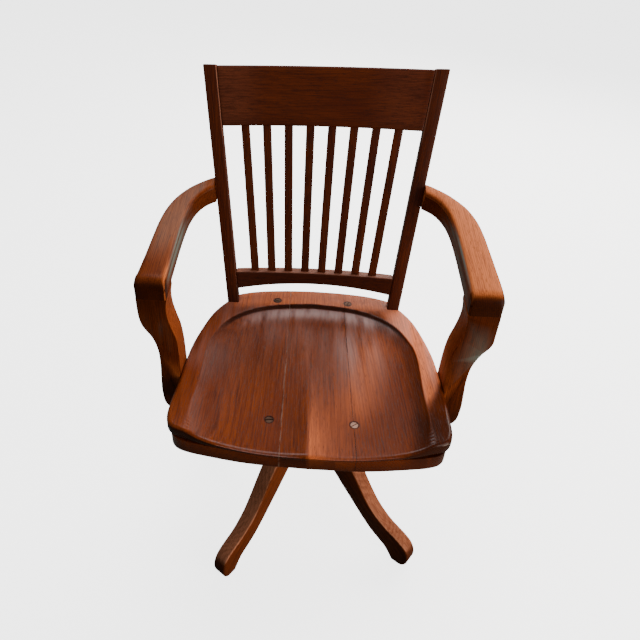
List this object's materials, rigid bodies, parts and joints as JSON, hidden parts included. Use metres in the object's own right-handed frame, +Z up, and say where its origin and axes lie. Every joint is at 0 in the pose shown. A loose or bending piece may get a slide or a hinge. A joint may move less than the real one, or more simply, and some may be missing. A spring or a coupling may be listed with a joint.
{
  "type": "swivel armchair",
  "caption": "Oak swivel desk armchair with a slatted raked back, a saddled seat, curved arms, a screw-raised spindle, a sprung tilt and four sabre legs.",
  "frame": {"origin": "centre of the bounding box on the floor plane, under the chair", "axes": "+Z up, +Y towards the back of the chair, +X to the right as seen from the front"},
  "size_m": [0.6234, 0.5744, 0.8962],
  "materials": {
    "seat_oak": "stained oak, satin varnish",
    "dark_oak": "dark stained oak, satin varnish",
    "arm_oak": "stained oak, satin varnish, worn edges",
    "leg_oak": "stained oak, satin varnish",
    "cast_iron": "blackened, matt",
    "bar_steel": "dull, oiled",
    "screw_steel": "worn bright"
  },
  "bodies": {
    "base": {"base_hub": "leg_oak", "leg_rear_right": "leg_oak", "leg_rear_left": "leg_oak", "leg_front_left": "leg_oak", "leg_front_right": "leg_oak", "hub_sleeve": "cast_iron", "hub_guide_plate": "cast_iron", "collar_screw_1": "screw_steel", "collar_screw_2": "screw_steel", "collar_screw_3": "screw_steel", "collar_screw_4": "screw_steel"},
    "turning_washer": {"thrust_washer": "bar_steel"},
    "height_nut": {"height_nut": "cast_iron"},
    "undercarriage": {"spindle": "bar_steel", "tilt_yoke": "cast_iron", "yoke_pin": "screw_steel", "spring_seat_washer": "bar_steel", "tilt_spring": "bar_steel"},
    "seat": {"seat_plank_left": "seat_oak", "seat_plank_middle": "seat_oak", "seat_plank_right": "seat_oak", "seat_bolt_front_left": "screw_steel", "seat_bolt_front_right": "screw_steel", "seat_bolt_rear_left": "screw_steel", "seat_bolt_rear_right": "screw_steel", "seat_nut_front_left": "bar_steel", "seat_nut_front_right": "bar_steel", "seat_nut_rear_left": "bar_steel", "seat_nut_rear_right": "bar_steel", "seat_strap_right": "cast_iron", "seat_strap_left": "cast_iron", "tilt_rod": "bar_steel", "tilt_rod_nut": "screw_steel", "spring_cross_rod": "bar_steel", "back_post_right": "dark_oak", "back_post_left": "dark_oak", "crest_rail": "dark_oak", "lower_back_rail": "dark_oak", "back_slat_1": "dark_oak", "back_slat_2": "dark_oak", "back_slat_3": "dark_oak", "back_slat_4": "dark_oak", "back_slat_5": "dark_oak", "back_slat_6": "dark_oak", "back_slat_7": "dark_oak", "back_slat_8": "dark_oak", "arm_right": "arm_oak", "arm_left": "arm_oak", "arm_support_right": "arm_oak", "arm_support_left": "arm_oak"},
    "draw_bolt": {"draw_bolt": "bar_steel"},
    "spring_cup": {"spring_cup": "cast_iron"},
    "tension_knob": {"tension_knob": "cast_iron"}
  },
  "joints": [
    {"name": "swivel", "type": "hinge", "parent": "base", "child": "turning_washer", "pos_m": [0, -0.04619, 0.2402], "axis": [0, 0, 1], "continuous": true},
    {"name": "height_nut_turn", "type": "hinge", "parent": "turning_washer", "child": "height_nut", "pos_m": [0, -0.04619, 0.2566], "axis": [0, 0, 1], "range_deg": [-6840, 1440]},
    {"name": "height", "type": "slide", "parent": "turning_washer", "child": "undercarriage", "axis": [0, 0, 1], "range_m": [-0.015, 0.075]},
    {"name": "tilt", "type": "hinge", "parent": "undercarriage", "child": "seat", "pos_m": [0, -0.04619, 0.354], "axis": [-1, 0, 0], "range_deg": [0, 14], "stiffness_Nm_per_rad": 120, "springref_deg": -14.32, "deforming": ["tilt_spring"]},
    {"name": "draw_bolt_swing", "type": "hinge", "parent": "seat", "child": "draw_bolt", "pos_m": [0, -0.1262, 0.366], "axis": [-1, 0, 0], "range_deg": [-10.5, 0.5]},
    {"name": "spring_cup_slide", "type": "slide", "parent": "draw_bolt", "child": "spring_cup", "axis": [0, 0, 1], "range_m": [-0.005, 0.006], "deforming": ["tilt_spring"]},
    {"name": "tension_knob_turn", "type": "hinge", "parent": "spring_cup", "child": "tension_knob", "pos_m": [0, -0.1262, 0.27], "axis": [0, 0, 1], "range_deg": [-740, 884]}
  ],
  "couplings": [
    {"joint": "height_nut_turn", "follows": "height", "rad_per_m": -1570.8},
    {"joint": "draw_bolt_swing", "follows": "tilt", "ratio": -0.7},
    {"joint": "tension_knob_turn", "follows": "spring_cup_slide", "rad_per_m": 2513.3}
  ]
}
